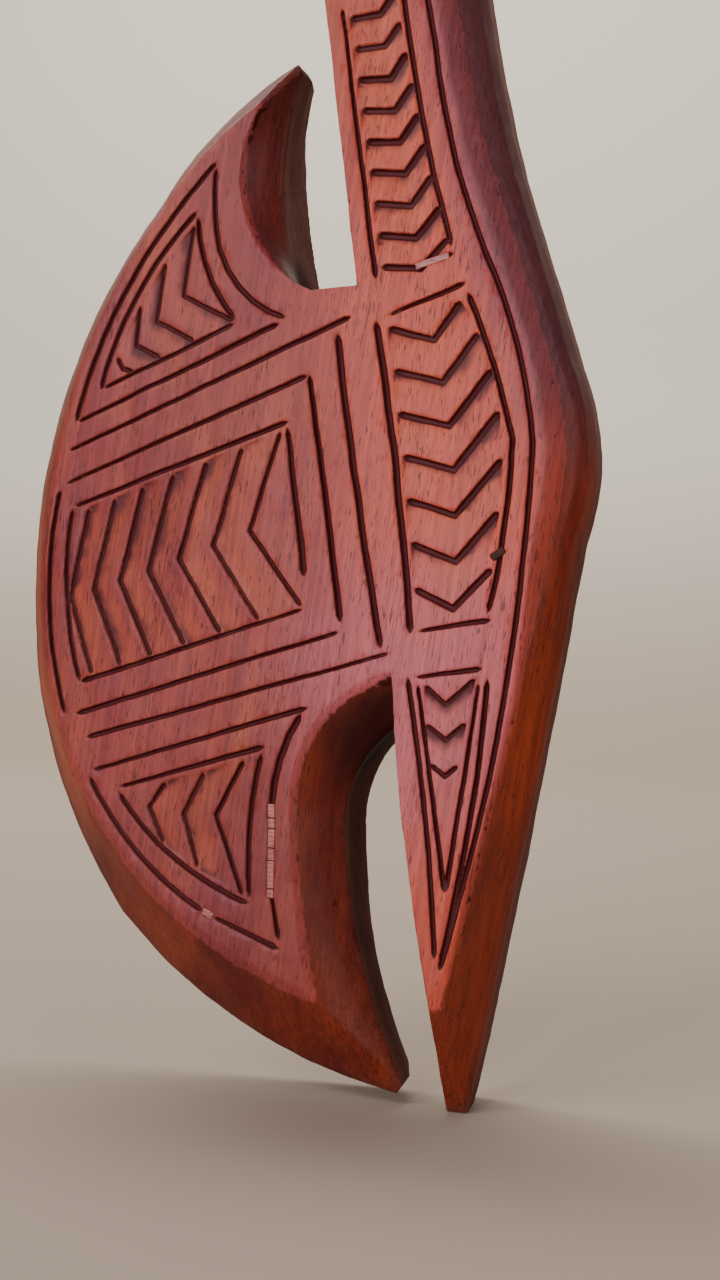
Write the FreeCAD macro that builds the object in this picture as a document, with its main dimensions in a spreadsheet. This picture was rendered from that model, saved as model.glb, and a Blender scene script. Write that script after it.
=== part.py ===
"""A carved hardwood axe club, standing head down: crescent blade to the left, spike below, handle above.

The frame is in millimetres: +X towards the spine, +Y towards the plain back, +Z up. The origin is at
the middle of the club's footprint, level with its lowest point, the end of the spike.
"""

import FreeCAD, Part
import math
import os

import Sketcher

Vector = FreeCAD.Vector

# Driving dimensions. Each one becomes a named cell of the sheet. The long lines, and the chips that make
# the chevrons, are each cut with a wide or a fine tool.
DIMENSIONS = {
    "thickness": 30.0,
    "bevel_depth": 12.0,
    "wide_line_width": 2.4,
    "wide_line_floor": 1.1,
    "wide_line_depth": 1.4,
    "fine_line_width": 1.9,
    "fine_line_floor": 0.75,
    "fine_line_depth": 1.25,
    "line_point": 2.6,
    "line_taper": 0.5,
    "wide_chip_width": 2.3,
    "wide_chip_floor": 1.2,
    "wide_chip_depth": 1.25,
    "fine_chip_width": 1.75,
    "fine_chip_floor": 0.7,
    "fine_chip_depth": 1.15,
    "chip_point": 1.6,
    "facet_depth": 0.55,
    "facet_reach": 0.8,
    "slip_recess": 0.15,
    "slip_gap": 0.2,
    "slot_depth": 1.75,
}
# The cuts are made by hand, so one is a little shallower or deeper than the next.
DEPTH_SHARES = (1.0, 0.93, 1.07, 0.97, 1.11)

# How far each section of the blank has gone from the face border to the widest outline, and then to
# the back border. The rounded stretches follow a quarter ellipse and the bevelled ones are nearly flat.
FRONT_DEPTHS = (0.0, 0.06, 0.22, 0.5, 1.0)
FRONT_BEVELS = (0.0, 0.11, 0.28, 0.55, 1.0)
BACK_DEPTHS = (0.45, 0.8, 1.0)
BACK_BLENDS = (0.05, 0.36, 1.0)

# The corners of the outline, anticlockwise as seen from the face, each as X and Z on the widest
# outline, on the border of the flat face and on the border of the flat back. "round" corners belong
# to the rounded spine and handle, "bevel" corners to the blade, the horns and the spike.
CORNERS = {
    "upper_tip_outer": ("bevel", (0.2, 308.0), (-9.0, 292.0), (-5.7, 306.9)),
    "upper_shoulder": ("bevel", (-45.2, 271.0), (-37.6, 266.5), (-40.0, 266.0)),
    "blade_left": ("bevel", (-91.0, 150.0), (-79.7, 150.0), (-81.5, 150.0)),
    "lower_shoulder": ("bevel", (-59.3, 51.3), (-46.0, 64.5), (-50.8, 57.5)),
    "lower_tip_outer": ("bevel", (31.0, 3.7), (5.5, 35.0), (22.2, 12.4)),
    "lower_tip_inner": ("bevel", (32.8, 6.5), (6.6, 36.0), (25.0, 14.0)),
    "inner_wall": ("bevel", (15.0, 76.5), (2.0, 84.0), (15.5, 76.5)),
    "spike_root": ("bevel", (34.2, 112.5), (33.5, 127.0), (34.6, 112.0)),
    "spike_tip_left": ("bevel", (46.2, 0.0), (43.9, 37.0), (46.7, 9.0)),
    "spike_tip_right": ("bevel", (52.2, 0.0), (46.6, 37.0), (50.6, 9.0)),
    "spine_low": ("round", (86.0, 164.0), (75.0, 166.0), (80.5, 164.0)),
    "spine_high": ("round", (85.0, 213.0), (74.8, 212.5), (79.5, 211.0)),
    "neck": ("round", (68.6, 268.5), (57.2, 268.5), (63.6, 268.0)),
    "handle_right": ("round", (58.3, 321.0), (46.3, 321.0), (54.0, 321.0)),
    "grip_right": ("round", (46.2, 383.0), (38.6, 383.0), (42.0, 383.0)),
    "butt_right": ("round", (38.8, 447.0), (33.0, 444.5), (34.5, 445.0)),
    "butt_left": ("round", (-4.6, 452.5), (1.0, 448.5), (0.5, 449.5)),
    "grip_left": ("round", (6.9, 387.0), (12.5, 387.0), (11.0, 387.0)),
    "handle_left": ("round", (12.5, 321.0), (13.2, 321.0), (15.8, 321.0)),
    "notch_corner": ("bevel", (22.6, 237.2), (22.9, 237.6), (23.5, 237.0)),
    "notch_left": ("bevel", (1.9, 236.9), (8.8, 237.5), (1.9, 236.6)),
    "upper_tip_inner": ("bevel", (1.7, 305.3), (-8.0, 291.4), (-4.3, 305.2)),
}

# The middle of each curved stretch that starts at the named corner, in the same three outlines. A
# stretch that isn't named here is straight.
MIDDLES = {
    "upper_tip_outer": ((-23.8, 293.6), (-23.9, 281.4), (-23.6, 289.4)),
    "upper_shoulder": ((-77.4, 219.8), (-66.0, 220.5), (-69.0, 217.5)),
    "blade_left": ((-83.5, 98.0), (-71.6, 103.6), (-74.4, 101.2)),
    "lower_shoulder": ((-18.1, 19.8), (-20.6, 46.4), (-16.6, 28.0)),
    "lower_tip_inner": ((21.0, 38.0), (3.3, 60.0), (18.0, 44.0)),
    "inner_wall": ((19.4, 98.3), (9.8, 112.5), (19.8, 98.0)),
    "spike_root": ((38.6, 60.0), (37.2, 78.0), (39.1, 60.0)),
    "spike_tip_right": ((69.9, 82.0), (64.0, 101.0), (66.6, 83.0)),
    "spine_low": ((90.0, 189.5), (78.2, 189.5), (84.3, 189.0)),
    "spine_high": ((76.6, 241.5), (66.2, 241.5), (71.4, 241.0)),
    "neck": ((63.8, 289.5), (51.8, 290.0), (58.9, 289.5)),
    "handle_right": ((51.4, 352.0), (42.0, 352.0), (47.4, 352.0)),
    "grip_right": ((40.6, 417.0), (34.6, 417.0), (36.6, 417.0)),
    "butt_right": ((17.8, 460.5), (17.0, 454.0), (17.4, 455.5)),
    "butt_left": ((2.6, 420.0), (8.2, 420.0), (6.8, 420.0)),
    "grip_left": ((10.2, 354.0), (12.9, 354.0), (13.8, 354.0)),
    "notch_left": ((-4.4, 269.0), (-12.4, 262.0), (-4.1, 271.0)),
}
OUTLINES = ("edge", "face", "back")

# The long carved lines, panel by panel, each with its tool. Two points make a straight line and three a
# circular arc. Five or more are arcs end to end: each one's start, middle and end, which starts the next.
BORDER_LINES = {
    "upper_handle": [
        ("fine", [(18.4, 318.5), (28.6, 238.2)]),
        ("fine", [(36.6, 321.0), (43.2, 280.0), (51.3, 245.5)]),
        ("fine", [(19.0, 322.5), (35.5, 325.0)]),
        ("fine", [(36.5, 240.2), (52.6, 244.4)]),
    ],
    "top_handle": [
        ("fine", [(13.8, 373.0), (17.8, 328.5)]),
        ("fine", [(34.3, 374.0), (36.0, 331.5)]),
        ("fine", [(18.4, 326.8), (36.2, 329.6)]),
        ("fine", [(14.0, 375.5), (34.0, 377.5)]),
    ],
    "middle_shaft": [
        ("wide", [(28.5, 227.5), (34.9, 182.5), (39.1, 137.0)]),
        ("fine", [(31.5, 227.8), (56.0, 236.0)]),
        ("fine", [(55.6, 233.5), (63.6, 211.0), (68.6, 191.5), (66.5, 168.0), (61.5, 142.8)]),
        ("fine", [(40.4, 138.2), (63.4, 141.6)]),
    ],
    "spike_face": [
        ("fine", [(39.8, 125.2), (61.0, 128.2)]),
        ("fine", [(38.1, 126.0), (42.3, 95.0), (46.0, 45.5)]),
        ("fine", [(41.1, 124.6), (49.0, 64.5)]),
        ("fine", [(59.2, 125.0), (49.2, 64.5)]),
        ("fine", [(61.6, 125.6), (55.6, 81.0), (47.6, 44.6)]),
    ],
    "blade": [
        ("fine", [(-72.4, 193.8), (21.8, 229.0)]),
        ("fine", [(-73.2, 183.8), (8.6, 213.0)]),
        ("wide", [(8.3, 213.6), (18.0, 140.5)]),
        ("fine", [(18.4, 138.6), (-69.6, 113.2)]),
        ("fine", [(-74.3, 183.2), (-78.5, 150.0), (-72.6, 112.6)]),
        ("wide", [(17.0, 224.6), (22.6, 181.0), (30.3, 133.0)]),
        ("fine", [(33.6, 132.4), (-66.0, 106.0)]),
        ("fine", [(-70.2, 176.8), (2.4, 199.9)]),
        ("wide", [(1.2, 198.4), (6.8, 154.0)]),
        ("fine", [(7.0, 145.2), (-68.0, 123.0)]),
        ("fine", [(-70.0, 177.0), (-72.2, 151.0), (-67.4, 122.8)]),
    ],
    "upper_horn": [
        ("fine", [(-20.6, 278.0), (-47.8, 247.6), (-69.2, 202.4)]),
        ("fine", [(-21.4, 276.6), (-21.8, 267.0), (-21.5, 258.0), (-14.4, 240.2), (1.6, 229.6)]),
        ("fine", [(-69.0, 202.8), (-0.4, 228.6)]),
        ("fine", [(-27.2, 264.2), (-47.0, 241.4), (-60.4, 211.8)]),
        ("fine", [(-27.6, 262.4), (-26.0, 251.0), (-15.0, 230.0)]),
        ("fine", [(-60.0, 212.6), (-14.8, 229.6)]),
    ],
    "lower_horn": [
        ("fine", [(-64.0, 96.0), (8.4, 116.5)]),
        ("wide", [(6.0, 115.0), (-1.2, 101.0), (-3.6, 86.5)]),
        ("fine", [(-3.8, 62.5), (-1.2, 47.6)]),
        ("fine", [(-64.4, 94.8), (-48.6, 72.6), (-25.2, 54.9)]),
        ("fine", [(-23.0, 54.0), (-0.6, 45.6)]),
        ("fine", [(-54.6, 91.1), (-5.2, 105.0)]),
        ("fine", [(-6.6, 103.4), (-10.6, 82.0), (-10.6, 59.6)]),
        ("fine", [(-54.4, 90.2), (-36.2, 71.2), (-10.4, 58.3)]),
    ],
    "spine": [
        ("fine", [(47.2, 42.5), (65.9, 118.0), (74.3, 190.5), (70.6, 214.5), (60.8, 243.8),
                  (52.2, 271.0), (46.5, 301.5), (40.6, 342.0), (37.2, 379.5)]),
    ],
}

# The rows of chevrons: the tool, how many, then three curves, each given by where the first, the middle
# and the last chevron start, turn and end.
CHEVRON_ROWS = {
    "upper_handle": ("wide", 9, ((20.4, 314.0), (25.2, 278.4), (29.9, 242.2)),
                     ((30.0, 314.2), (36.0, 277.0), (42.2, 240.6)),
                     ((34.6, 320.0), (41.8, 284.8), (50.6, 249.0))),
    "top_handle": ("wide", 5, ((15.4, 370.0), (17.4, 350.0), (19.0, 331.0)),
                   ((25.0, 366.0), (27.0, 347.0), (28.4, 331.0)),
                   ((33.6, 375.0), (34.6, 356.0), (35.4, 337.5))),
    "middle_shaft": ("wide", 7, ((31.9, 224.6), (36.2, 188.0), (39.9, 150.6)),
                     ((45.9, 220.2), (51.6, 183.4), (51.4, 144.6)),
                     ((54.0, 231.0), (65.2, 199.4), (62.9, 156.0))),
    "spike_face": ("fine", 3, ((42.8, 123.4), (43.3, 112.4), (44.4, 101.4)),
                   ((49.4, 117.8), (49.3, 108.0), (49.1, 97.8)),
                   ((58.4, 125.4), (55.7, 113.0), (53.2, 101.2))),
    "blade": ("fine", 7, ((-64.2, 176.8), (-35.4, 186.0), (-0.8, 197.0)),
              ((-71.0, 149.4), (-44.2, 157.0), (-10.6, 168.2)),
              ((-63.2, 124.8), (-31.8, 133.8), (6.0, 145.4))),
    "upper_horn": ("fine", 4, ((-28.8, 260.0), (-42.6, 243.8), (-54.8, 222.4)),
                   ((-32.4, 239.0), (-45.0, 228.6), (-52.6, 218.4)),
                   ((-15.4, 229.8), (-34.2, 222.8), (-48.6, 217.2))),
    "lower_horn": ("fine", 3, ((-38.0, 93.6), (-25.2, 97.2), (-12.2, 101.0)),
                   ((-43.6, 85.6), (-32.4, 83.6), (-21.6, 84.2)),
                   ((-38.8, 74.4), (-27.4, 67.4), (-12.8, 60.6))),
}

# The short slots that pale fillings close: the panel each one is in, its two ends and its width.
SLOTS = {
    "groove_slip": ("lower_horn", (-3.65, 88.2), (-4.05, 60.4), 2.6),
    "edge_groove_plug": ("lower_horn", (-25.9, 55.4), (-22.5, 53.8), 2.7),
    "chevron_slip": ("upper_handle", (40.6, 241.3), (50.4, 243.8), 2.3),
    "border_filler_block": ("middle_shaft", (62.6, 158.6), (66.4, 161.2), 2.6),
}
# Six slips share the first slot. Their joints are shares of its length.
SLIP_JOINTS = (0.0, 0.15, 0.265, 0.465, 0.6, 0.9, 1.0)


def make_sheet(doc):
    """The sheet of driving dimensions, and a function that reads one of its cells."""
    sheet = doc.addObject("Spreadsheet::Sheet", "Sizes")
    cells = dict(DIMENSIONS)
    for number, depth in enumerate(FRONT_DEPTHS):
        cells[f"front_depth_{number}"] = depth
        cells[f"bevel_blend_{number}"] = FRONT_BEVELS[number]
        cells[f"round_blend_{number}"] = round(math.sqrt(1 - (1 - depth) ** 2), 4)
    for number, depth in enumerate(BACK_DEPTHS):
        cells[f"back_depth_{number}"] = depth
        cells[f"back_blend_{number}"] = BACK_BLENDS[number]
    for corner, (_, *places) in CORNERS.items():
        for outline, (x, z) in zip(OUTLINES, places):
            cells[f"{outline}_x_{corner}"] = x
            cells[f"{outline}_z_{corner}"] = z
    for corner, places in MIDDLES.items():
        for outline, (x, z) in zip(OUTLINES, places):
            cells[f"{outline}_x_after_{corner}"] = x
            cells[f"{outline}_z_after_{corner}"] = z
    for row, (alias, value) in enumerate(cells.items(), start=1):
        sheet.set(f"A{row}", alias)
        sheet.set(f"B{row}", str(value))
        sheet.setAlias(f"B{row}", alias)
    doc.recompute()
    return sheet


def blend_expressions(place, first, last, share):
    """The sheet expressions for a point's X and Z, part of the way from one outline to another."""
    return [
        f"Sizes.{first}_{axis}_{place} + (Sizes.{last}_{axis}_{place} - Sizes.{first}_{axis}_{place})"
        f" * {share}"
        for axis in "xz"
    ]


def evaluate(sheet, expression):
    """The value that a sheet expression has now."""
    return float(sheet.evalExpression(expression.replace("Sizes.", "")))


def pin(sketch, geometry, vertex, expressions, values):
    """Holds a vertex at the two distances from the sketch's origin that the sheet gives."""
    for kind, expression, value in zip(("DistanceX", "DistanceY"), expressions, values):
        index = sketch.addConstraint(Sketcher.Constraint(kind, -1, 1, geometry, vertex, value))
        sketch.setExpression(f"Constraints[{index}]", expression)


def section_sketch(body, sheet, name, offset, first, last, shares):
    """One closed section of the blank, in a plane parallel to the face."""
    sketch = body.newObject("Sketcher::SketchObject", name)
    plane = next(item for item in body.Origin.OriginFeatures if item.Role == "XZ_Plane")
    sketch.AttachmentSupport = (plane, [""])
    sketch.MapMode = "FlatFace"
    sketch.setExpression("AttachmentOffset.Base.z", offset)
    corners = list(CORNERS)
    kinds = [CORNERS[corner][0] for corner in corners]
    rules = [blend_expressions(corner, first, last, shares[kind]) for corner, kind in zip(corners, kinds)]
    points = [[evaluate(sheet, rule) for rule in pair] for pair in rules]
    starts, ends, middles = [], [], []
    for number, corner in enumerate(corners):
        start = Vector(*points[number], 0)
        end = Vector(*points[(number + 1) % len(corners)], 0)
        if corner in MIDDLES:
            rule = blend_expressions(f"after_{corner}", first, last, shares[kinds[number]])
            values = [evaluate(sheet, part) for part in rule]
            edge = sketch.addGeometry(Part.Arc(start, Vector(*values, 0), end))
            middles.append((edge, rule, values))
        else:
            edge = sketch.addGeometry(Part.LineSegment(start, end))
        forward = (sketch.getPoint(edge, 1) - start).Length < (sketch.getPoint(edge, 2) - start).Length
        starts.append((edge, 1 if forward else 2))
        ends.append((edge, 2 if forward else 1))
    for number in range(len(corners)):
        following = starts[(number + 1) % len(corners)]
        sketch.addConstraint(Sketcher.Constraint("Coincident", *ends[number], *following))
        pin(sketch, *starts[number], rules[number], points[number])
    for edge, rule, values in middles:
        point = sketch.addGeometry(Part.Point(Vector(*values, 0)), True)
        pin(sketch, point, 1, rule, values)
        sketch.addConstraint(Sketcher.Constraint("PointOnObject", point, 1, edge))
    return sketch


def make_blank(doc, sheet):
    """The uncarved club: a loft from the flat face out to the widest outline and in to the back."""
    body = doc.addObject("PartDesign::Body", "blank")
    sections = []
    for number in range(len(FRONT_DEPTHS)):
        offset = f"Sizes.thickness / 2 - Sizes.bevel_depth * Sizes.front_depth_{number}"
        shares = {"round": f"Sizes.round_blend_{number}", "bevel": f"Sizes.bevel_blend_{number}"}
        name = f"front_section_{number}"
        sections.append(section_sketch(body, sheet, name, offset, "face", "edge", shares))
    for number in range(len(BACK_DEPTHS)):
        offset = (
            "Sizes.thickness / 2 - Sizes.bevel_depth"
            f" - (Sizes.thickness - Sizes.bevel_depth) * Sizes.back_depth_{number}"
        )
        shares = dict.fromkeys(("round", "bevel"), f"Sizes.back_blend_{number}")
        name = f"back_section_{number}"
        sections.append(section_sketch(body, sheet, name, offset, "edge", "back", shares))
    doc.recompute()
    loft = body.newObject("PartDesign::AdditiveLoft", "blank_loft")
    loft.Profile = sections[0]
    loft.Sections = sections[1:]
    loft.Ruled = True
    doc.recompute()
    return body


def path_points(line):
    """The points along a carved line: its two ends, or circular arcs in short equal chords."""
    places = [Vector(x, 0, z) for x, z in line]
    if len(places) == 2:
        return places
    points = places[:1]
    for start, middle, end in zip(places[::2], places[1::2], places[2::2]):
        arc = Part.Arc(start, middle, end)
        chords = max(4, round(arc.length() / 7))
        points += arc.toShape().discretize(chords + 1)[1:]
    return points


def polyhedron(loops):
    """A closed solid from flat polygons."""
    faces = [Part.Face(Part.makePolygon([*loop, loop[0]])) for loop in loops]
    solid = Part.Solid(Part.makeShell(faces))
    if solid.Volume < 0:
        solid.reverse()
    return solid


def line_cut(points, width, floor, depth, point_length, face_y, taper=0.0, overshoot=0.4):
    """The solid that a carved line removes: sloping walls, a flat floor, and a point at each end where
    the floor rises to the face. A straight line may start narrower than it ends, by the taper. The solid
    stands a little out of the face, so that the cut is clean."""
    rise = (depth + overshoot) / depth
    directions = [(b - a).normalize() for a, b in zip(points, points[1:])]
    path = list(points)
    path[0] = points[0] + directions[0] * point_length
    path[-1] = points[-1] - directions[-1] * point_length
    top_half = floor / 2 + (width - floor) / 2 * rise
    rails = {"left_top": [], "left_floor": [], "right_floor": [], "right_top": []}
    for number, place in enumerate(path):
        narrowing = taper / 2 if number == 0 else 0.0
        before = directions[max(number - 1, 0)]
        after = directions[min(number, len(directions) - 1)]
        bisector = (before + after).normalize()
        across = Vector(-bisector.z, 0, bisector.x) / bisector.dot(after)
        bottom = Vector(place.x, face_y + depth, place.z)
        top = Vector(place.x, face_y - overshoot, place.z)
        rails["left_top"].append(top + across * (top_half - narrowing))
        rails["left_floor"].append(bottom + across * (floor / 2 - narrowing))
        rails["right_floor"].append(bottom - across * (floor / 2 - narrowing))
        rails["right_top"].append(top - across * (top_half - narrowing))
    tips = []
    for place, inner in ((points[0], path[0]), (points[-1], path[-1])):
        bottom = Vector(inner.x, face_y + depth, inner.z)
        tips.append(bottom + (Vector(place.x, face_y, place.z) - bottom) * rise)
    left_top, left_floor, right_floor, right_top = rails.values()
    loops = [[tips[0], *left_top, tips[1], *reversed(right_top)]]
    for first, second in ((left_top, left_floor), (left_floor, right_floor), (right_floor, right_top)):
        for number in range(len(path) - 1):
            loops.append([first[number], first[number + 1], second[number + 1], second[number]])
        for tip, end in ((tips[0], 0), (tips[1], -1)):
            corners = [tip, first[end], second[end]]
            loops.append(corners if end == 0 else corners[::-1])
    return polyhedron(loops)


def facet_cut(near, far, depth, face_y, overshoot=0.4):
    """The shallow slope between two chevron legs: deepest beside the near leg, nothing at the far one."""
    inset = 0.12
    deep = [a + (b - a) * inset for a, b in zip(near, far)]
    bottoms = [Vector(place.x, face_y + depth, place.z) for place in deep]
    tops = [Vector(place.x, face_y - overshoot, place.z) for place in (*near, *reversed(far))]
    rims = [Vector(place.x, face_y, place.z) for place in (*near, *reversed(far))]
    a, b, c, d = rims
    p, q = bottoms
    top_a, top_b, top_c, top_d = tops
    loops = [
        [top_a, top_b, top_c, top_d],
        [top_a, a, b, top_b],
        [top_b, b, c, top_c],
        [top_c, c, d, top_d],
        [top_d, d, a, top_a],
        [a, p, b],
        [p, q, b],
        [b, q, c],
        [q, p, c],
        [p, d, c],
        [a, d, p],
    ]
    return polyhedron(loops)


def rail(first, middle, last, share):
    """The point part of the way along the parabola through three points."""
    weights = (
        (1 - share) * (1 - 2 * share),
        4 * share * (1 - share),
        share * (2 * share - 1),
    )
    x, z = (sum(w * point[axis] for w, point in zip(weights, (first, middle, last))) for axis in (0, 1))
    return Vector(x, 0, z)


def tool_sizes(sheet, tool, kind):
    """The width, floor and depth that a wide or a fine tool cuts."""
    return [getattr(sheet, f"{tool}_{kind}_{size}") for size in ("width", "floor", "depth")]


def chevrons(row):
    """Each chevron of a row, as where it starts, turns and ends."""
    _, count, *rails = CHEVRON_ROWS[row]
    return [[rail(*points, number / (count - 1)) for points in rails] for number in range(count)]


def chevron_cuts(row, sheet, face_y):
    """The solids that a row of chevrons removes: the cut lines and the shallow facets between them."""
    marks = chevrons(row)
    tool = CHEVRON_ROWS[row][0]
    width, floor, full_depth = tool_sizes(sheet, tool, "chip")
    cuts = []
    for mark, following in zip(marks, marks[1:]):
        reach = [a + (b - a) * sheet.facet_reach for a, b in zip(mark, following)]
        for leg in (0, 1):
            near, far = mark[leg : leg + 2], reach[leg : leg + 2]
            cuts.append(facet_cut(near, far, sheet.facet_depth, face_y))
    for number, mark in enumerate(marks):
        depth = full_depth * DEPTH_SHARES[number % len(DEPTH_SHARES)]
        cuts.append(line_cut(mark, width, floor, depth, sheet.chip_point, face_y))
    return cuts


def add_feature(doc, name, shape):
    """A document object that holds a shape, placed at the club's origin."""
    feature = doc.addObject("Part::Feature", name)
    feature.Label = name
    feature.Shape = shape
    feature.Placement = FreeCAD.Placement()
    return feature


def slot_solid(start, end, width, depth, top_y, face_y):
    """A short V-shaped prism with square ends, from a depth below the face up to top_y."""
    along = (end - start).normalize()
    across = Vector(-along.z, 0, along.x)
    half = width / 2 * (face_y + depth - top_y) / depth
    section = [
        Vector(start.x, face_y + depth, start.z),
        Vector(start.x, top_y, start.z) + across * half,
        Vector(start.x, top_y, start.z) - across * half,
    ]
    return Part.Face(Part.makePolygon([*section, section[0]])).extrude(end - start)


def slot_ends(slot):
    """The two ends of a slot, as points in the face's own X and Z."""
    _, (ax, az), (bx, bz), _ = SLOTS[slot]
    return Vector(ax, 0, az), Vector(bx, 0, bz)


def line_cuts(lines, sheet, face_y):
    """The solids that a panel's long lines remove. The straight ones widen a little on their way."""
    cuts = []
    for number, (tool, line) in enumerate(lines):
        width, floor, full_depth = tool_sizes(sheet, tool, "line")
        depth = full_depth * DEPTH_SHARES[number % len(DEPTH_SHARES)]
        taper = sheet.line_taper if len(line) == 2 else 0.0
        cuts.append(line_cut(path_points(line), width, floor, depth, sheet.line_point, face_y, taper))
    return cuts


def slot_cuts(panel, sheet, face_y):
    """The solids that a panel's slots remove."""
    overshoot = 0.4
    return [
        slot_solid(*slot_ends(slot), place[-1], sheet.slot_depth, face_y - overshoot, face_y)
        for slot, place in SLOTS.items()
        if place[0] == panel
    ]


def make_club(doc, sheet, face_y):
    """The carved club itself, one solid board with every line, chip and slot cut from it."""
    blank = make_blank(doc, sheet)
    tools = []
    for panel, lines in BORDER_LINES.items():
        solids = line_cuts(lines, sheet, face_y) + slot_cuts(panel, sheet, face_y)
        if panel in CHEVRON_ROWS:
            solids += chevron_cuts(panel, sheet, face_y)
        tools.append(add_feature(doc, f"{panel}_cuts", solids[0].multiFuse(solids[1:])))
    carving = doc.addObject("Part::Compound", "carving")
    carving.Links = tools
    club = doc.addObject("Part::Cut", "carved_club")
    club.Base = blank
    club.Tool = carving
    doc.recompute()
    if club.Shape.Volume >= blank.Shape.Volume:
        raise RuntimeError("the carving removed nothing")
    return club


def make_fillings(doc, sheet, face_y):
    """The small pale slips, plug and blocks, each seated on its slot's two sloping walls."""
    top_y = face_y + sheet.slip_recess
    places = {name: (*slot_ends(name), SLOTS[name][-1]) for name in SLOTS}
    start, end, width = places.pop("groove_slip")
    half_gap = (end - start).normalize() * (sheet.slip_gap / 2)
    for number, (first, last) in enumerate(zip(SLIP_JOINTS, SLIP_JOINTS[1:]), start=1):
        a = start + (end - start) * first + half_gap
        b = start + (end - start) * last - half_gap
        places[f"groove_slip_{number}"] = (a, b, width)
    return [
        add_feature(doc, name, slot_solid(a, b, width, sheet.slot_depth, top_y, face_y))
        for name, (a, b, width) in places.items()
    ]


def check(doc, nodes):
    """Stops on any object that failed and on any piece that isn't one sound solid."""
    for item in doc.Objects:
        if {"Invalid", "Error"} & set(item.State):
            raise RuntimeError(f"{item.Name} failed: {item.State}")
    for node in nodes:
        shape = node.Shape
        if shape.isNull() or not shape.isValid() or len(shape.Solids) != 1:
            raise RuntimeError(f"{node.Label} isn't one valid solid: {len(shape.Solids)} solids")


def main():
    doc = FreeCAD.newDocument("axe_club")
    sheet = make_sheet(doc)
    face_y = -sheet.thickness / 2
    nodes = [make_club(doc, sheet, face_y), *make_fillings(doc, sheet, face_y)]
    doc.recompute()
    check(doc, nodes)
    os.makedirs("parts", exist_ok=True)
    for node in nodes:
        node.Shape.exportStep(f"parts/{node.Label}.step")
        print(f"{node.Label}: {node.Shape.Volume:.1f} cubic mm")
    box = nodes[0].Shape.BoundBox
    print(f"club box X {box.XMin:.2f} {box.XMax:.2f} Y {box.YMin:.2f} {box.YMax:.2f}"
          f" Z {box.ZMin:.2f} {box.ZMax:.2f}")


main()
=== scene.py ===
"""The looks of the carved axe club: hand-cut hardwood with pores and satin varnish, carved lines with a
dark stain and dust, and painted light, sheen and shade in its colours.

Everything is in metres, in the CAD frame: +X towards the spine, +Y towards the plain back, +Z up.
"""

import math

import bmesh
import bpy
import numpy as np
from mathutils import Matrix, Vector


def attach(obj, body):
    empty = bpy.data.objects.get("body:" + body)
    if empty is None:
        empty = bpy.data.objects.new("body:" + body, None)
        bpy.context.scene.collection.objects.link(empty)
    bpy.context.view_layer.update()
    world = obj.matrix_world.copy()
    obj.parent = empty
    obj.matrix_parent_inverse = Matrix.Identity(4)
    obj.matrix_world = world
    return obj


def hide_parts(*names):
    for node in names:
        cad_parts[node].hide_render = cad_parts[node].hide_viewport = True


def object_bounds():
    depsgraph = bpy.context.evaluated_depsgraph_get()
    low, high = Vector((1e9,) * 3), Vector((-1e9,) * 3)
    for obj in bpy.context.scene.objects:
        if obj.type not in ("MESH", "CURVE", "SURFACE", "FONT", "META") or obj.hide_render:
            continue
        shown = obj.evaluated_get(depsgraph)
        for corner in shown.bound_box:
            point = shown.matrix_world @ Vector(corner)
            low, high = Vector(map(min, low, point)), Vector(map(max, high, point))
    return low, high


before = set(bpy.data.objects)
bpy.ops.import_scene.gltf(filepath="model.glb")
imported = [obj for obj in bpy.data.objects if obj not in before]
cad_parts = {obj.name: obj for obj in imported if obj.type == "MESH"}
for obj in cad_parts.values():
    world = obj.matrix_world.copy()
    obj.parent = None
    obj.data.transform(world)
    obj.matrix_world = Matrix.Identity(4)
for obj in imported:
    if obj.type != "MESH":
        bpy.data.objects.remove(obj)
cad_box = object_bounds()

MM = 0.001
LOW, HIGH = cad_box
FACE_Y = LOW.y
THICKNESS = HIGH.y - LOW.y

# The club's surface is rebuilt as an even skin, made uneven as by hand, and thinned where it is flat.
SKIN_STEP = 0.34 * MM
SKIN_TRIANGLES = 190_000
FILLING_SKIN_STEP = 0.16 * MM
FILLING_EASE = 0.18 * MM
# How far the hand-cut surface strays, in slow waves, in slower ones and in the small marks of the tools.
WANDER_HEIGHT = 0.45 * MM
SWELL_HEIGHT = 0.5 * MM
TOOL_MARK_HEIGHT = 0.12 * MM
CREASE_ANGLE = math.radians(38)

# The carving: how deep the lines and the facets are, how far the face's own level may sag, and how deep
# a point of a carved line can lie.
LINE_DEPTH = 1.4 * MM
FACET_DEPTH = 0.55 * MM
FACE_SAG = 0.9 * MM
DEEPEST_CUT = 2.2 * MM
# The sides, as shares of the thickness: where the slope is full, where the rear wall starts, and how
# gradually.
SLOPE_FULL = 0.3
REAR_START = 0.32
REAR_BLEND = 0.18

# The camera, level and close, a little to the spine's side of the carved face.
CAMERA_YAW = math.radians(20)
CAMERA_DISTANCE = 0.42
CAMERA_AIM = Vector((0.024, FACE_Y, 0.136))
CAMERA_LENS = 41.34

GRAIN_LEAN = math.radians(9)
# Where the long line beside the spine runs, from the spike to the grip. The wood gets a painted mauve
# sheen in a band before it, and the sides' darker colours beyond it.
SPINE_LINE_Z = (0.0425, 0.118, 0.1905, 0.2145, 0.2438, 0.271, 0.3015, 0.342, 0.3795)
SPINE_LINE_X = (0.0472, 0.0659, 0.0743, 0.0706, 0.0608, 0.0522, 0.0465, 0.0406, 0.0372)
SPINE_BAND = 9 * MM
BEYOND_START = 1.8 * MM
BEYOND_BLEND = 1.6 * MM
# A painted highlight: the rosy reflection on the varnish at the root of the spike, painted into the
# colour.
HIGHLIGHT_PLACE = (0.042, FACE_Y, 0.118)
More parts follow.
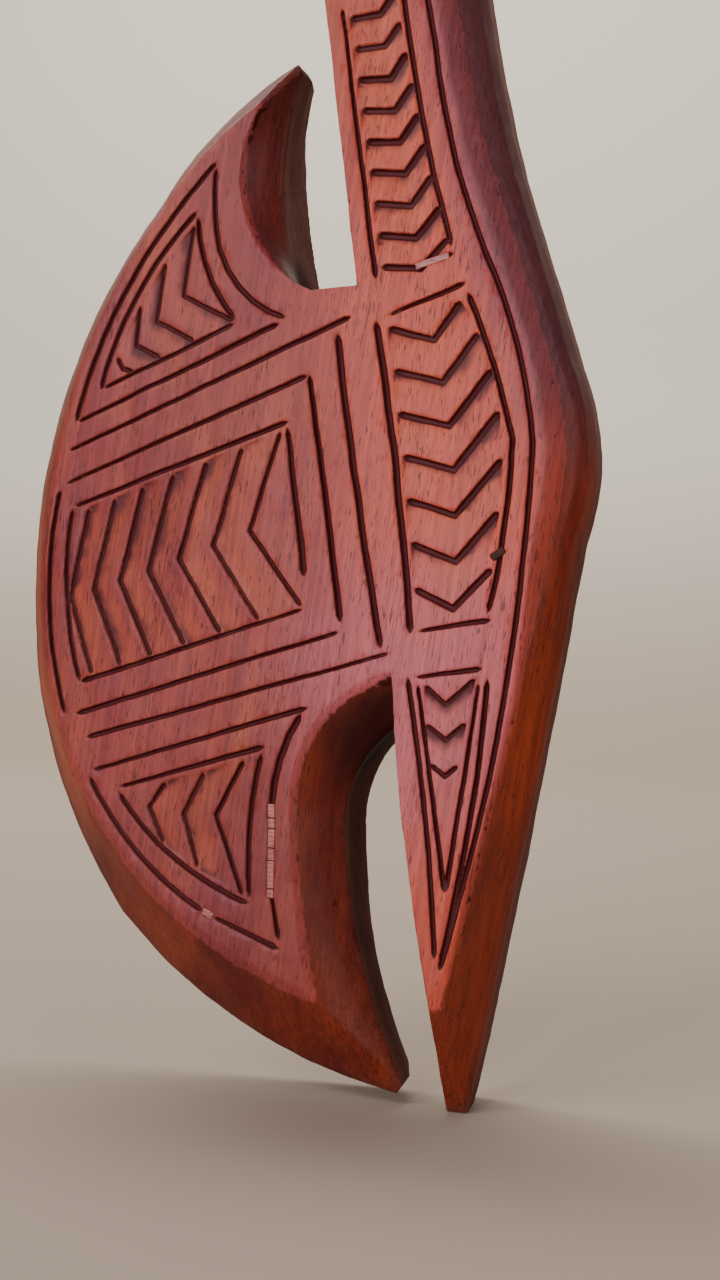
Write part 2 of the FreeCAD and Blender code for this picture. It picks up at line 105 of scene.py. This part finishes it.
# Painted shade in the recesses, partly old varnish and dirt gathered there, as a point, the radii where it
# starts and
# ends, and how dark it is: the top of the arch over the lower notch, the upper horn's tip and the floor of
# the upper notch.
SHADED_NOOKS = [
    ((0.030, FACE_Y + 0.3 * THICKNESS, 0.106), 0.010, 0.030, 0.85),
    ((0.001, FACE_Y + 0.5 * THICKNESS, 0.303), 0.008, 0.030, 0.15),
    ((0.004, FACE_Y + 0.5 * THICKNESS, 0.243), 0.004, 0.014, 0.80),
]

GROOVE_SLIPS = [f"groove_slip_{number}" for number in range(1, 7)]
PALE_FILLINGS = GROOVE_SLIPS + ["edge_groove_plug", "chevron_slip"]


# ---------------------------------------------------------------- node helpers

class Nodes:
    """A material's node tree, with one short call for each kind of node that is used."""

    def __init__(self, name):
        self.material = bpy.data.materials.new(name)
        self.material.use_nodes = True
        self.tree = self.material.node_tree
        self.shader = self.tree.nodes["Principled BSDF"]

    def add(self, kind, **inputs):
        node = self.tree.nodes.new(kind)
        for name, value in inputs.items():
            self.feed(node.inputs[name], value)
        return node

    def feed(self, socket, value):
        if isinstance(value, bpy.types.NodeSocket):
            self.tree.links.new(value, socket)
        else:
            socket.default_value = value

    def math(self, operation, a, b=0.0, clamp=False):
        node = self.tree.nodes.new("ShaderNodeMath")
        node.operation = operation
        node.use_clamp = clamp
        self.feed(node.inputs[0], a)
        self.feed(node.inputs[1], b)
        return node.outputs[0]

    def mix(self, share, a, b, blend="MIX"):
        node = self.tree.nodes.new("ShaderNodeMix")
        node.data_type = "RGBA"
        node.blend_type = blend
        self.feed(node.inputs["Factor"], share)
        self.feed(node.inputs["A"], a)
        self.feed(node.inputs["B"], b)
        return node.outputs["Result"]

    def ramp(self, value, low, high, to_low=0.0, to_high=1.0):
        node = self.add("ShaderNodeMapRange", Value=value)
        node.interpolation_type = "SMOOTHSTEP"
        self.feed(node.inputs["From Min"], low)
        self.feed(node.inputs["From Max"], high)
        self.feed(node.inputs["To Min"], to_low)
        self.feed(node.inputs["To Max"], to_high)
        return node.outputs["Result"]

    def noise(self, place, scale=1.0, detail=3.0, roughness=0.55, distortion=0.0):
        node = self.add("ShaderNodeTexNoise", Vector=place, Scale=scale, Detail=detail)
        node.inputs["Roughness"].default_value = roughness
        node.inputs["Distortion"].default_value = distortion
        return node.outputs["Fac"]

    def bump(self, height, strength, distance, normal=None):
        node = self.add("ShaderNodeBump", Height=height, Strength=strength, Distance=distance)
        if normal is not None:
            self.feed(node.inputs["Normal"], normal)
        return node

    def attribute(self, name):
        node = self.tree.nodes.new("ShaderNodeAttribute")
        node.attribute_name = name
        return node.outputs["Fac"]

    def stretched(self, place, scale, lean=0.0):
        """Object coordinates scaled per axis, after a lean of the grain in the plane of the face."""
        node = self.add("ShaderNodeMapping", Vector=place)
        node.vector_type = "TEXTURE"
        node.inputs["Rotation"].default_value = (0, lean, 0)
        scaled = self.add("ShaderNodeVectorMath")
        scaled.operation = "MULTIPLY"
        self.feed(scaled.inputs[0], node.outputs["Vector"])
        self.feed(scaled.inputs[1], scale)
        return scaled.outputs["Vector"]


def rgb(red, green, blue):
    """A linear colour with full alpha."""
    return (red, green, blue, 1.0)


# ---------------------------------------------------------------- the carved surface

def clouds(name, size, colour=False):
    """A soft procedural noise for a Displace modifier."""
    texture = bpy.data.textures.new(name, "CLOUDS")
    texture.noise_scale = size
    texture.noise_depth = 2
    texture.cloud_type = "COLOR" if colour else "GRAYSCALE"
    return texture


WANDER = clouds("hand_wander", 0.011, colour=True)
SWELL = clouds("hand_swell", 0.028, colour=True)
TOOL_MARKS = clouds("tool_facets", 0.0045)


def add_displace(piece, texture, strength, direction="RGB_TO_XYZ"):
    modifier = piece.modifiers.new("uneven", "DISPLACE")
    modifier.texture = texture
    modifier.texture_coords = "LOCAL"
    modifier.direction = direction
    modifier.mid_level = 0.5
    modifier.strength = strength


def add_hand_wander(piece):
    """The slow wander of hand-cut shapes, the same field for the club and all that sits in it."""
    add_displace(piece, WANDER, WANDER_HEIGHT)
    add_displace(piece, SWELL, SWELL_HEIGHT)


def welded_copy(node, name):
    """A copy of a CAD node's mesh as a new piece, with its split corners joined."""
    mesh = node.data.copy()
    mesh.name = name
    mesh.materials.clear()
    work = bmesh.new()
    work.from_mesh(mesh)
    bmesh.ops.remove_doubles(work, verts=work.verts, dist=0.001 * MM)
    work.to_mesh(mesh)
    work.free()
    piece = bpy.data.objects.new(name, mesh)
    bpy.context.scene.collection.objects.link(piece)
    return piece


def bake_modifiers(piece):
    """Replaces a piece's mesh with what its modifiers make of it."""
    graph = bpy.context.evaluated_depsgraph_get()
    mesh = bpy.data.meshes.new_from_object(piece.evaluated_get(graph), depsgraph=graph)
    piece.modifiers.clear()
    piece.data = mesh
    return mesh


def vertex_places(mesh):
    places = np.empty(len(mesh.vertices) * 3, np.float32)
    mesh.vertices.foreach_get("co", places)
    return places.reshape(-1, 3)


class FaceMap:
    """The height of the carved side over a grid of X and Z, towards the viewer, in metres."""

    CELL = 0.6 * MM
    MARGIN = 12
    FRONT_SHARE = 0.45
    # How many cells bridge a carved line, a facet with its lines, and the distance from the face's edge.
    LINE_REACH = 4
    FACET_REACH = 14
    INLAND_REACH = 5
    INLAND_SAG = 1.2 * MM

    def __init__(self, places):
        front = places[places[:, 1] < FACE_Y + self.FRONT_SHARE * THICKNESS]
        self.corner = front[:, [0, 2]].min(axis=0) - self.MARGIN * self.CELL
        across, up = self.cells(front)
        shape = (across.max() + self.MARGIN, up.max() + self.MARGIN)
        height = np.full(shape, -self.FRONT_SHARE * THICKNESS, np.float32)
        np.maximum.at(height, (across, up), FACE_Y - front[:, 1])
        self.whole = self.closed(height, self.LINE_REACH)
        self.uncarved = self.closed(height, self.FACET_REACH)
        self.inland = self.spread(self.whole, self.INLAND_REACH, np.minimum) > -self.INLAND_SAG

    def closed(self, height, reach):
        """The heights with every hollow narrower than twice the reach filled in."""
        return self.spread(self.spread(height, reach, np.maximum), reach, np.minimum)

    def cells(self, places):
        index = (places[:, [0, 2]] - self.corner) / self.CELL
        index = index.astype(int)
        return index[:, 0], index[:, 1]

    @staticmethod
    def spread(grid, reach, choose):
        """The highest or the lowest value within a reach, first across and then up."""
        for axis in (0, 1):
            result = grid
            for shift in range(-reach, reach + 1):
                result = choose(result, np.roll(grid, shift, axis))
            grid = result
        return grid

    def sample(self, grid, places):
        across, up = self.cells(places)
        across = np.clip(across, 0, grid.shape[0] - 1)
        up = np.clip(up, 0, grid.shape[1] - 1)
        return grid[across, up]


def store(mesh, name, values):
    attribute = mesh.attributes.new(name, "FLOAT", "POINT")
    attribute.data.foreach_set("value", values.astype(np.float32))


def mark_surface(mesh, face_map):
    """Stores for each point how deep it is in a carved line, how deep in the facet between two chevrons,
    how far down the sloping side, how far back, and how near the line by the spine or beyond it it is."""
    places = vertex_places(mesh)
    whole = face_map.sample(face_map.whole, places)
    depth = whole - (FACE_Y - places[:, 1])
    on_face = (whole > -FACE_SAG) & (depth < DEEPEST_CUT)
    store(mesh, "cut", np.where(on_face, np.clip(depth / LINE_DEPTH, 0, 1), 0))
    chip = (face_map.sample(face_map.uncarved, places) - whole) / FACET_DEPTH
    inland = face_map.sample(face_map.inland, places)
    store(mesh, "chip", np.where(on_face & inland, np.clip(chip, 0, 1), 0))
    down = (places[:, 1] - FACE_Y) / THICKNESS
    store(mesh, "slope", np.where(on_face, 0, np.clip(down / SLOPE_FULL, 0, 1)))
    store(mesh, "rear", np.clip((down - REAR_START) / REAR_BLEND, 0, 1))
    past_line = places[:, 0] - np.interp(places[:, 2], SPINE_LINE_Z, SPINE_LINE_X)
    store(mesh, "by_spine", np.clip(1 + past_line / SPINE_BAND, 0, 1))
    store(mesh, "beyond", np.clip((past_line - BEYOND_START) / BEYOND_BLEND, 0, 1))


def make_board():
    """The club itself: an even skin over the CAD solid, wandering and softened as by hand."""
    board = welded_copy(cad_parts["carved_club"], "club_board")
    remesh = board.modifiers.new("skin", "REMESH")
    remesh.mode = "VOXEL"
    remesh.voxel_size = SKIN_STEP
    bake_modifiers(board)
    soften = board.modifiers.new("soften", "SMOOTH")
    soften.factor = 0.35
    soften.iterations = 1
    add_hand_wander(board)
    add_displace(board, TOOL_MARKS, TOOL_MARK_HEIGHT, "NORMAL")
    dense = bake_modifiers(board)
    face_map = FaceMap(vertex_places(dense))
    thin = board.modifiers.new("thin", "DECIMATE")
    thin.ratio = min(1.0, SKIN_TRIANGLES / (2 * len(dense.polygons)))
    mesh = bake_modifiers(board)
    mark_surface(mesh, face_map)
    mesh.shade_smooth()
    mesh.set_sharp_from_angle(angle=CREASE_ANGLE)
    return board


def make_filling(name):
    """A small filling with its sharp arrises eased, wandering with the slot that it closes."""
    piece = welded_copy(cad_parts[name], f"{name}_shaped")
    bevel = piece.modifiers.new("ease", "BEVEL")
    bevel.width = FILLING_EASE
    bevel.segments = 3
    bevel.limit_method = "ANGLE"
    skin = piece.modifiers.new("skin", "REMESH")
    skin.mode = "VOXEL"
    skin.voxel_size = FILLING_SKIN_STEP
    add_hand_wander(piece)
    bake_modifiers(piece).shade_smooth()
    return piece


# ---------------------------------------------------------------- materials

# The wood's linear colours. Each pair of a dark and a light one is mixed by the figure of the grain.
WOOD = {
    "face_dark": rgb(0.24, 0.031, 0.027),
    "face_light": rgb(0.385, 0.070, 0.033),
    "face_low": rgb(0.19, 0.036, 0.038),
    "face_patches": rgb(0.27, 0.045, 0.055),
    # painted light: the shaft's face brighter and oranger
    "face_shaft_lit": rgb(0.66, 0.105, 0.055),
    # a painted mauve sheen
    "face_mauve_sheen": rgb(0.26, 0.058, 0.078),
    # a rosy painted highlight
    "painted_highlight": rgb(0.46, 0.125, 0.170),
    # the facets' orange: partly fresh-cut wood, partly painted sheen
    "facet": rgb(0.58, 0.135, 0.050),
    "side_dark": rgb(0.15, 0.013, 0.006),
    "side_light": rgb(0.33, 0.045, 0.010),
    # painted shade on the lower sides
    "side_low_shade": rgb(0.075, 0.012, 0.010),
    # painted shade on the upper sides towards the spine
    "side_upper_shade": rgb(0.085, 0.026, 0.034),
    "rear_dark": rgb(0.075, 0.028, 0.026),
    "rear_light": rgb(0.130, 0.050, 0.042),
    # painted light on the rear walls of the upper part
    "rear_upper_lit": rgb(0.29, 0.145, 0.125),
    # a dark stain in the carved lines, with painted shade of the recess
    "groove": rgb(0.055, 0.004, 0.004),
    # grey dust in the carved lines, with painted light where their walls face up
    "groove_dust_and_light": rgb(0.095, 0.019, 0.020),
    "pore": rgb(0.035, 0.007, 0.006),
    # painted shade in the recesses, partly old varnish and dirt
    "nook_shade_and_dirt": rgb(0.022, 0.005, 0.006),
}
# The fillings, and the thin dark ticks across them.
PALE_LIGHT, PALE_DARK = rgb(0.52, 0.175, 0.14), rgb(0.37, 0.10, 0.08)
GREY_LIGHT, GREY_DARK = rgb(0.065, 0.022, 0.013), rgb(0.028, 0.010, 0.006)
TICK_COLOUR = rgb(0.10, 0.03, 0.025)
TICK_SPACING = 1.3 * MM
# The stage's paper, underfoot and up the wall.
FLOOR_COLOUR, WALL_COLOUR = rgb(0.38, 0.305, 0.240), rgb(0.65, 0.60, 0.52)


def wood_fibres(nodes, place):
    """Fine upright fibre streaks and short dark pores, as two masks."""
    fibre = nodes.noise(nodes.stretched(place, (900, 900, 28), GRAIN_LEAN), detail=4)
    pore_place = nodes.stretched(place, (2600, 2600, 250), GRAIN_LEAN)
    pores = nodes.noise(pore_place, detail=1.0, roughness=0.4, distortion=0.25)
    patches = nodes.noise(nodes.stretched(place, (70, 70, 22), GRAIN_LEAN), detail=2)
    threshold = nodes.ramp(patches, 0.3, 0.7, 0.68, 0.595)
    pore = nodes.ramp(nodes.math("SUBTRACT", pores, threshold), 0.0, 0.05)
    return fibre, pore


def near(nodes, place, point, inner, outer):
    """One within the inner radius of a point, and nothing beyond the outer one."""
    distance = nodes.add("ShaderNodeVectorMath")
    distance.operation = "DISTANCE"
    nodes.feed(distance.inputs[0], place)
    nodes.feed(distance.inputs[1], point)
    return nodes.ramp(distance.outputs["Value"], outer, inner)


def wood_colour(nodes, place, fibre, pore):
    """The board's colour: rosy on the face, orange-brown on the facets and the sides, dull behind, with
    painted light, sheen and shade in places.
    """
    grain = nodes.noise(nodes.stretched(place, (55, 55, 7), GRAIN_LEAN), distortion=0.6)
    figure = nodes.ramp(grain, 0.3, 0.7)
    broad = nodes.noise(place, scale=14, detail=2)
    beyond = nodes.attribute("beyond")
    slope = nodes.ramp(nodes.attribute("slope"), 0.02, 0.16)
    slope = nodes.math("MAXIMUM", slope, nodes.math("MULTIPLY", beyond, 0.72))
    rear = nodes.attribute("rear")
    split = nodes.add("ShaderNodeSeparateXYZ", Vector=place)
    height = nodes.math("ADD", split.outputs["Z"], nodes.math("MULTIPLY", broad, 0.03))
    upper_part = nodes.ramp(height, 0.185, 0.235)
    across = nodes.math("ADD", split.outputs["X"], nodes.math("MULTIPLY", broad, 0.02))
    shaft_part = nodes.ramp(across, 0.005, 0.050)

    def tint(colour, mask, share, name):
        """The colour, turned towards a named one by a share of the mask."""
        return nodes.mix(nodes.math("MULTIPLY", mask, share), colour, WOOD[name])

    face = nodes.mix(figure, WOOD["face_dark"], WOOD["face_light"])
    low = nodes.ramp(height, 0.125, 0.085, 0.0, 0.5)
    face = nodes.mix(low, face, WOOD["face_low"])
    face = nodes.mix(nodes.ramp(broad, 0.35, 0.65, 0.0, 0.4), face, WOOD["face_patches"])
    # painted light: the shaft's face made brighter and oranger, where more light falls on it
    face = tint(face, shaft_part, 0.7, "face_shaft_lit")
    # painted sheen: a mauve reflection in the upper part, in a band before the spine line
    mauve = nodes.math("MULTIPLY", nodes.attribute("by_spine"), upper_part)
    face = tint(face, mauve, 0.72, "face_mauve_sheen")
    # painted highlight: a rosy reflection at the root of the spike
    face = tint(face, near(nodes, place, HIGHLIGHT_PLACE, 0.015, 0.060), 0.55, "painted_highlight")
    # the facets between chevrons: partly the orange of fresh-cut wood, partly painted sheen where they
    # tilt to the light
    face = tint(face, nodes.attribute("chip"), 0.65, "facet")

    side = nodes.mix(figure, WOOD["side_dark"], WOOD["side_light"])
    # painted shade: the sides made darker low down, where they face down
    side = tint(side, low, 0.9, "side_low_shade")
    # painted shade: the upper sides towards the spine turned dark purple-grey
    upper_shade = nodes.math("MULTIPLY", upper_part, nodes.ramp(across, 0.010, 0.040, 0.5, 0.88))
    side = nodes.mix(upper_shade, side, WOOD["side_upper_shade"])

    dull = nodes.mix(figure, WOOD["rear_dark"], WOOD["rear_light"])
    # painted light: the rear walls of the upper part made paler, as if lit
    dull = tint(dull, upper_part, 0.8, "rear_upper_lit")
    colour = nodes.mix(slope, face, side)
    colour = nodes.mix(nodes.math("MULTIPLY", rear, 0.85), colour, dull)

    streak = nodes.ramp(fibre, 0.25, 0.75, 0.76, 1.2)
    grey = nodes.add("ShaderNodeCombineColor", Red=streak, Green=streak, Blue=streak)
    colour = nodes.mix(1.0, colour, grey.outputs["Color"], "MULTIPLY")
    colour = tint(colour, pore, 0.65, "pore")
    # painted shade in the recesses, partly old varnish and dirt gathered there
    for point, inner, outer, darkness in SHADED_NOOKS:
        nook_shade_and_dirt = nodes.math("MULTIPLY", near(nodes, place, point, inner, outer), slope)
        colour = tint(colour, nook_shade_and_dirt, darkness, "nook_shade_and_dirt")
    return colour


def hardwood():
    """The board's wood: varnished on the face and the sides, bare in the carved lines and behind."""
    nodes = Nodes("carved_hardwood")
    coordinates = nodes.add("ShaderNodeTexCoord")
    place = coordinates.outputs["Object"]
    fibre, pore = wood_fibres(nodes, place)
    cut = nodes.attribute("cut")
    slope = nodes.attribute("slope")
    rear = nodes.attribute("rear")
    colour = wood_colour(nodes, place, fibre, pore)

    # In the carved lines: grey dust on the forward-facing floors, and painted light on the walls that face
    # up.
    normal = nodes.add("ShaderNodeSeparateXYZ", Vector=coordinates.outputs["Normal"])
    upward = nodes.ramp(normal.outputs["Z"], 0.0, 0.5)
    forward = nodes.ramp(normal.outputs["Y"], -0.8, -0.97)
    dust_and_light = nodes.math("MAXIMUM", nodes.math("MULTIPLY", upward, 0.6), forward)
    groove = nodes.mix(dust_and_light, WOOD["groove"], WOOD["groove_dust_and_light"])
    # the carved lines darkened by depth: a stain, with painted shade in the recess
    colour = nodes.mix(nodes.ramp(cut, 0.12, 0.34), colour, groove)
    nodes.feed(nodes.shader.inputs["Base Color"], colour)

    rough = nodes.ramp(slope, 0.05, 0.5, 0.44, 0.33)
    rough = nodes.math("ADD", rough, nodes.math("MULTIPLY", fibre, 0.14))
    rough = nodes.math("ADD", rough, nodes.math("MULTIPLY", cut, 0.18))
    rough = nodes.math("ADD", rough, nodes.math("MULTIPLY", rear, 0.35), clamp=True)
    nodes.feed(nodes.shader.inputs["Roughness"], rough)
    bare = nodes.math("MAXIMUM", cut, rear)
    varnish = nodes.math("SUBTRACT", 0.40, nodes.math("MULTIPLY", slope, 0.20))
    varnish = nodes.math("MULTIPLY", varnish, nodes.math("SUBTRACT", 1.0, bare), clamp=True)
    nodes.feed(nodes.shader.inputs["Coat Weight"], varnish)
    nodes.shader.inputs["Coat Roughness"].default_value = 0.42
    nodes.shader.inputs["Specular IOR Level"].default_value = 0.10

    ripple = nodes.noise(place, scale=1100, detail=2)
    grain_bump = nodes.bump(fibre, 0.25, 0.12 * MM)
    ripple_bump = nodes.bump(ripple, 0.16, 0.12 * MM, grain_bump.outputs["Normal"])
    pore_bump = nodes.bump(pore, 0.5, 0.15 * MM, ripple_bump.outputs["Normal"])
    pore_bump.invert = True
    nodes.feed(nodes.shader.inputs["Normal"], pore_bump.outputs["Normal"])
    return nodes.material


def filling_wood(name, light, dark, tick_share, gloss):
    """The short-grained wood of a filling, with thin dark ticks across it and more or less varnish."""
    nodes = Nodes(name)
    place = nodes.add("ShaderNodeTexCoord").outputs["Object"]
    fibre = nodes.noise(nodes.stretched(place, (700, 700, 160)), detail=4)
    patch = nodes.noise(place, scale=260, detail=1)
    colour = nodes.mix(nodes.ramp(nodes.math("ADD", fibre, patch), 0.75, 1.25), dark, light)
    split = nodes.add("ShaderNodeSeparateXYZ", Vector=place)
    along = nodes.math("ADD", split.outputs["Z"], nodes.math("MULTIPLY", patch, 1.6 * MM))
    phase = nodes.math("FRACT", nodes.math("DIVIDE", along, TICK_SPACING))
    tick = nodes.math("MULTIPLY", nodes.ramp(phase, 0.16, 0.06), tick_share)
    colour = nodes.mix(tick, colour, TICK_COLOUR)
    nodes.feed(nodes.shader.inputs["Base Color"], colour)
    rough = nodes.math("ADD", 0.42, nodes.math("MULTIPLY", fibre, 0.2))
    nodes.feed(nodes.shader.inputs["Roughness"], rough)
    nodes.shader.inputs["Specular IOR Level"].default_value = gloss
    nodes.shader.inputs["Coat Weight"].default_value = 0.3 * gloss
    nodes.shader.inputs["Coat Roughness"].default_value = 0.25
    bump = nodes.bump(nodes.math("SUBTRACT", fibre, tick), 0.35, 0.15 * MM)
    nodes.feed(nodes.shader.inputs["Normal"], bump.outputs["Normal"])
    return nodes.material


def stage_paper():
    """Matt paper, a warm stone colour underfoot and paler up the wall."""
    nodes = Nodes("stage_paper")
    split = nodes.add("ShaderNodeSeparateXYZ", Vector=nodes.add("ShaderNodeTexCoord").outputs["Object"])
    colour = nodes.mix(nodes.ramp(split.outputs["Z"], 0.0, 0.5), FLOOR_COLOUR, WALL_COLOUR)
    nodes.feed(nodes.shader.inputs["Base Color"], colour)
    nodes.shader.inputs["Roughness"].default_value = 0.85
    return nodes.material


# ---------------------------------------------------------------- the stage

def make_stage():
    """A pale floor that sweeps up behind the club into a plain wall."""
    half_width, front, bend, radius, top = 3.0, -2.0, 1.1, 0.6, 3.0
    steps = 12
    profile = [(front, 0.0)]
    for step in range(steps + 1):
        angle = math.pi / 2 * step / steps
        profile.append((bend + radius * math.sin(angle), radius * (1 - math.cos(angle))))
    profile.append((bend + radius, top))
    vertices = [(x, y, z) for y, z in profile for x in (-half_width, half_width)]
    faces = [(2 * n, 2 * n + 1, 2 * n + 3, 2 * n + 2) for n in range(len(profile) - 1)]
    mesh = bpy.data.meshes.new("stage_floor")
    mesh.from_pydata(vertices, [], faces)
    for polygon in mesh.polygons:
        polygon.use_smooth = True
    mesh.materials.append(stage_paper())
    floor = bpy.data.objects.new("stage_floor", mesh)
    bpy.context.scene.collection.objects.link(floor)


# Each lamp's place, what it points at, its width and height, its watts and its colour.
LAMPS = {
    "window_front": ((-0.32, -1.15, 0.24), (0.03, 0, 0.15), (0.30, 0.8), 9.5, (0.92, 0.84, 1.0)),
    "key_left": ((-0.70, -0.8, 1.0), (0, 0, 0.2), (0.5, 0.5), 7.2, (1.0, 0.97, 0.94)),
    "low_right": ((0.95, -0.7, 0.12), (0.05, 0, 0.1), (0.3, 0.3), 1.3, (1.0, 0.86, 0.74)),
    "fill_right": ((0.9, -0.45, 0.5), (0.02, 0, 0.2), (0.5, 0.5), 2.2, (1.0, 0.9, 0.93)),
    "wall_wash": ((-0.6, 0.35, 1.6), (-0.6, 1.6, 0.35), (2.4, 0.6), 53, (1.0, 0.97, 0.92)),
}


def area_light(name, place, aim, size, power, colour):
    light = bpy.data.lights.new(name, "AREA")
    light.shape = "RECTANGLE"
    light.size, light.size_y = size
    light.energy = power
    light.color = colour
    lamp = bpy.data.objects.new(name, light)
    lamp.location = place
    lamp.rotation_mode = "QUATERNION"
    lamp.rotation_quaternion = (Vector(aim) - Vector(place)).to_track_quat("-Z", "Y")
    bpy.context.scene.collection.objects.link(lamp)


def make_lights():
    for name, settings in LAMPS.items():
        area_light(name, *settings)
    world = bpy.data.worlds.new("studio")
    world.use_nodes = True
    background = world.node_tree.nodes["Background"]
    background.inputs["Color"].default_value = rgb(0.78, 0.75, 0.74)
    background.inputs["Strength"].default_value = 0.10
    bpy.context.scene.world = world


def make_camera():
    data = bpy.data.cameras.new("camera")
    data.lens = CAMERA_LENS
    data.dof.use_dof = False
    camera = bpy.data.objects.new("camera", data)
    back = Vector((math.sin(CAMERA_YAW), -math.cos(CAMERA_YAW), 0))
    camera.location = CAMERA_AIM + back * CAMERA_DISTANCE
    camera.rotation_euler = (math.pi / 2, 0, CAMERA_YAW)
    bpy.context.scene.collection.objects.link(camera)
    bpy.context.scene.camera = camera


# ---------------------------------------------------------------- the whole

def place_piece(piece, node, material):
    """Gives a piece its material, and lets it stand for its CAD node."""
    piece.data.materials.append(material)
    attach(piece, "root")
    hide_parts(node)


def main():
    make_camera()
    make_lights()
    make_stage()
    place_piece(make_board(), "carved_club", hardwood())
    pale = filling_wood("pale_filling_wood", PALE_LIGHT, PALE_DARK, tick_share=0.85, gloss=0.5)
    for name in PALE_FILLINGS:
        place_piece(make_filling(name), name, pale)
    grey = filling_wood("grey_filling_wood", GREY_LIGHT, GREY_DARK, tick_share=0.6, gloss=0.08)
    place_piece(make_filling("border_filler_block"), "border_filler_block", grey)


main()
